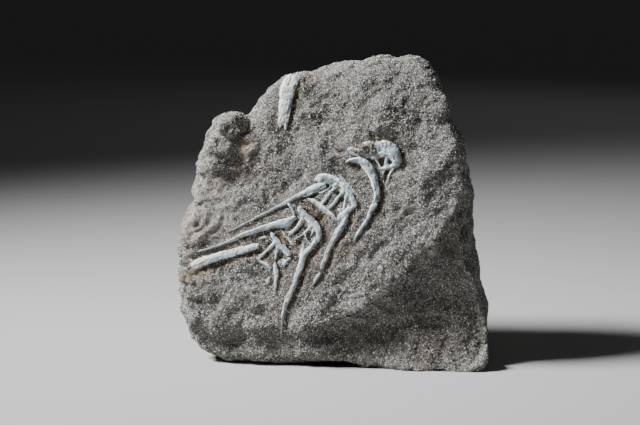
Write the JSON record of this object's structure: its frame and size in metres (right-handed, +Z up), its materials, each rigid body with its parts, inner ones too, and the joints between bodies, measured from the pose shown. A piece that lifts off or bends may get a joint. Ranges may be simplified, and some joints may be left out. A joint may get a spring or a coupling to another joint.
{
  "type": "fossil fish vertebrae in a sandstone block",
  "caption": "Free-standing sandstone block with a chain of fossil fish vertebrae and long spines standing out of its leaning front face.",
  "frame": {"origin": "middle of the block's box, on the surface that it stands on", "axes": "+Z up; the fossil face looks towards -Y and leans back; +X to the right as that face is seen"},
  "size_m": [0.133, 0.0678, 0.1294],
  "materials": {
    "sandstone": "coarse grey-beige sandstone, dry and matt, broken on every side",
    "fossil_bone": "off-white mineralised bone with a dull satin surface"
  },
  "bodies": {
    "root": {"rock_matrix": "sandstone", "vertebra_1": "fossil_bone", "arched_spine": "fossil_bone", "vertebra_2": "fossil_bone", "neural_spine_2": "fossil_bone", "haemal_spine_2": "fossil_bone", "haemal_spine_2_tip": "fossil_bone", "spine_needle": "fossil_bone", "cross_bar": "fossil_bone", "vertebra_3": "fossil_bone", "haemal_spine_3": "fossil_bone", "neural_spine_3": "fossil_bone", "vertebra_4": "fossil_bone", "haemal_spine_4": "fossil_bone", "neural_spine_4": "fossil_bone", "fragment_4": "fossil_bone", "bone_blade": "fossil_bone", "flake_left": "fossil_bone", "flake_lower": "fossil_bone", "flake_needle": "fossil_bone"}
  },
  "joints": []
}
